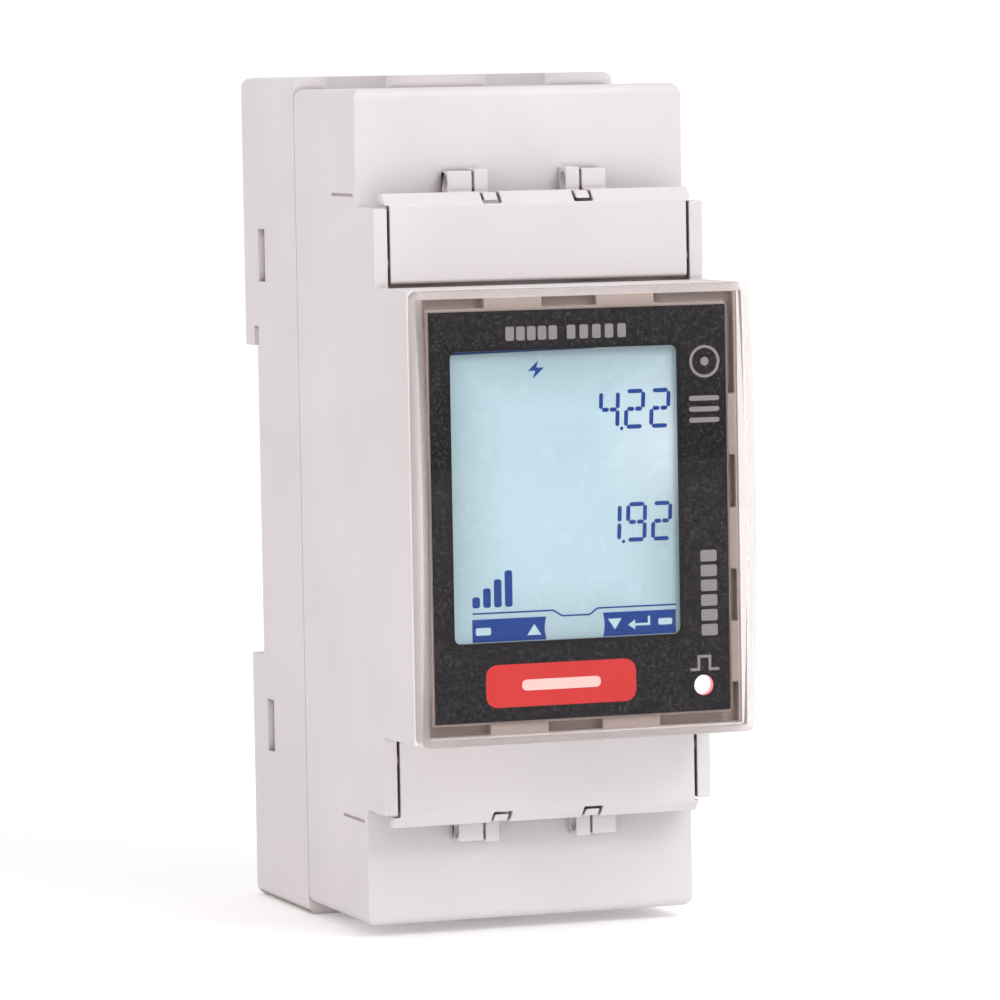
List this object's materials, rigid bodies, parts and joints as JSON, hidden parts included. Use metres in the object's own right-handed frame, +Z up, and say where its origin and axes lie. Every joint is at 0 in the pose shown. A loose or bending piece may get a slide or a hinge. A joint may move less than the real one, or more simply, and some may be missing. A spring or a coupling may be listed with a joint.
{
  "type": "smart electric meter",
  "caption": "Two-module rail-mounted electricity meter with a bulged clear window, back-lit display, hinged terminal covers with seal lugs and a sprung rail latch.",
  "frame": {"origin": "middle of the seat that rests on the rail's face", "axes": "-Y is the front with the display, +X is right seen from the front, +Z is up along the rail channel's height"},
  "size_m": [0.0356, 0.0586, 0.0882],
  "materials": {
    "housing": "fine satin grain",
    "window": "clear moulded plastic, gloss",
    "panel": "printed satin black",
    "foil": "clear film",
    "lcd": "liquid-crystal cell",
    "diffuser": "clear light guide",
    "white_plastic": "satin",
    "contact_rubber": "soft",
    "circuit_board": "green solder mask",
    "black_part": "moulded black",
    "lamp": "clear light pipe",
    "lamp_chip": "small lamp chip",
    "film_case": "moulded case",
    "can": "sleeved can",
    "disc": "dipped coating",
    "ferrite": "sintered",
    "copper": "bare copper, tinned ends",
    "shunt_alloy": "brushed resistance alloy",
    "steel": "zinc plated",
    "signal_green": "moulded",
    "latch_plastic": "satin",
    "spring_steel": "drawn wire"
  },
  "bodies": {
    "meter": {"rear_base": "housing", "front_housing": "housing", "front_window": "window", "label_panel": "panel", "touch_foil": "foil", "lcd_glass": "lcd", "backlight_plate": "diffuser", "display_frame": "white_plastic", "contact_strips": "contact_rubber", "display_board": "circuit_board", "display_driver": "black_part", "pulse_led": "lamp_chip", "light_pipe": "lamp", "board_header": "black_part", "main_board": "circuit_board", "board_chips": "black_part", "film_capacitor": "film_case", "storage_capacitor": "can", "surge_disc": "disc", "mains_choke": "ferrite", "line_bar_upper": "copper", "line_bar_lower": "copper", "current_shunt": "shunt_alloy", "neutral_bar": "copper", "sense_pins": "steel", "signal_block": "signal_green", "signal_contacts": "copper", "latch_spring": "spring_steel"},
    "upper_cover": {"upper_cover": "housing"},
    "lower_cover": {"lower_cover": "housing"},
    "rail_latch": {"rail_latch": "latch_plastic"},
    "cage_upper_left": {"cage_upper_left": "steel"},
    "screw_upper_left": {"screw_upper_left": "steel"},
    "cage_upper_right": {"cage_upper_right": "steel"},
    "screw_upper_right": {"screw_upper_right": "steel"},
    "cage_lower_left": {"cage_lower_left": "steel"},
    "screw_lower_left": {"screw_lower_left": "steel"},
    "cage_lower_right": {"cage_lower_right": "steel"},
    "screw_lower_right": {"screw_lower_right": "steel"},
    "signal_clamp_left": {"signal_clamp_left": "steel"},
    "signal_screw_left": {"signal_screw_left": "steel"},
    "signal_clamp_right": {"signal_clamp_right": "steel"},
    "signal_screw_right": {"signal_screw_right": "steel"}
  },
  "joints": [
    {"name": "upper_cover_hinge", "type": "hinge", "parent": "meter", "child": "upper_cover", "pos_m": [0, -0.0395, 0.0252], "axis": [1, 0, 0], "range_deg": [0, 100]},
    {"name": "lower_cover_hinge", "type": "hinge", "parent": "meter", "child": "lower_cover", "pos_m": [0, -0.0395, -0.0252], "axis": [-1, 0, 0], "range_deg": [0, 100]},
    {"name": "rail_latch_slide", "type": "slide", "parent": "meter", "child": "rail_latch", "axis": [0, 0, -1], "range_m": [0, 0.003], "stiffness_N_per_m": 1200, "springref_m": -0.004, "deforming": ["latch_spring"]},
    {"name": "screw_upper_left_turn", "type": "hinge", "parent": "meter", "child": "screw_upper_left", "pos_m": [-0.01075, -0.03, 0.0271], "axis": [0, 1, 0], "range_deg": [0, 3060.1]},
    {"name": "cage_upper_left_rise", "type": "slide", "parent": "meter", "child": "cage_upper_left", "axis": [0, -1, 0], "range_m": [0, 0.0068]},
    {"name": "screw_upper_right_turn", "type": "hinge", "parent": "meter", "child": "screw_upper_right", "pos_m": [0.00695, -0.03, 0.0271], "axis": [0, 1, 0], "range_deg": [0, 3060.1]},
    {"name": "cage_upper_right_rise", "type": "slide", "parent": "meter", "child": "cage_upper_right", "axis": [0, -1, 0], "range_m": [0, 0.0068]},
    {"name": "screw_lower_left_turn", "type": "hinge", "parent": "meter", "child": "screw_lower_left", "pos_m": [-0.01075, -0.03, -0.0271], "axis": [0, 1, 0], "range_deg": [0, 3060.1]},
    {"name": "cage_lower_left_rise", "type": "slide", "parent": "meter", "child": "cage_lower_left", "axis": [0, -1, 0], "range_m": [0, 0.0068]},
    {"name": "screw_lower_right_turn", "type": "hinge", "parent": "meter", "child": "screw_lower_right", "pos_m": [0.00695, -0.03, -0.0271], "axis": [0, 1, 0], "range_deg": [0, 3060.1]},
    {"name": "cage_lower_right_rise", "type": "slide", "parent": "meter", "child": "cage_lower_right", "axis": [0, -1, 0], "range_m": [0, 0.0068]},
    {"name": "signal_screw_left_turn", "type": "hinge", "parent": "meter", "child": "signal_screw_left", "pos_m": [-0.00365, -0.03, -0.0271], "axis": [0, 1, 0], "range_deg": [0, 1800.1]},
    {"name": "signal_clamp_left_rise", "type": "slide", "parent": "meter", "child": "signal_clamp_left", "axis": [0, -1, 0], "range_m": [0, 0.002]},
    {"name": "signal_screw_right_turn", "type": "hinge", "parent": "meter", "child": "signal_screw_right", "pos_m": [-0.00015, -0.03, -0.0271], "axis": [0, 1, 0], "range_deg": [0, 1800.1]},
    {"name": "signal_clamp_right_rise", "type": "slide", "parent": "meter", "child": "signal_clamp_right", "axis": [0, -1, 0], "range_m": [0, 0.002]}
  ],
  "couplings": [
    {"joint": "screw_upper_left_turn", "follows": "cage_upper_left_rise", "rad_per_m": 7854},
    {"joint": "screw_upper_right_turn", "follows": "cage_upper_right_rise", "rad_per_m": 7854},
    {"joint": "screw_lower_left_turn", "follows": "cage_lower_left_rise", "rad_per_m": 7854},
    {"joint": "screw_lower_right_turn", "follows": "cage_lower_right_rise", "rad_per_m": 7854},
    {"joint": "signal_screw_left_turn", "follows": "signal_clamp_left_rise", "rad_per_m": 15708},
    {"joint": "signal_screw_right_turn", "follows": "signal_clamp_right_rise", "rad_per_m": 15708}
  ]
}
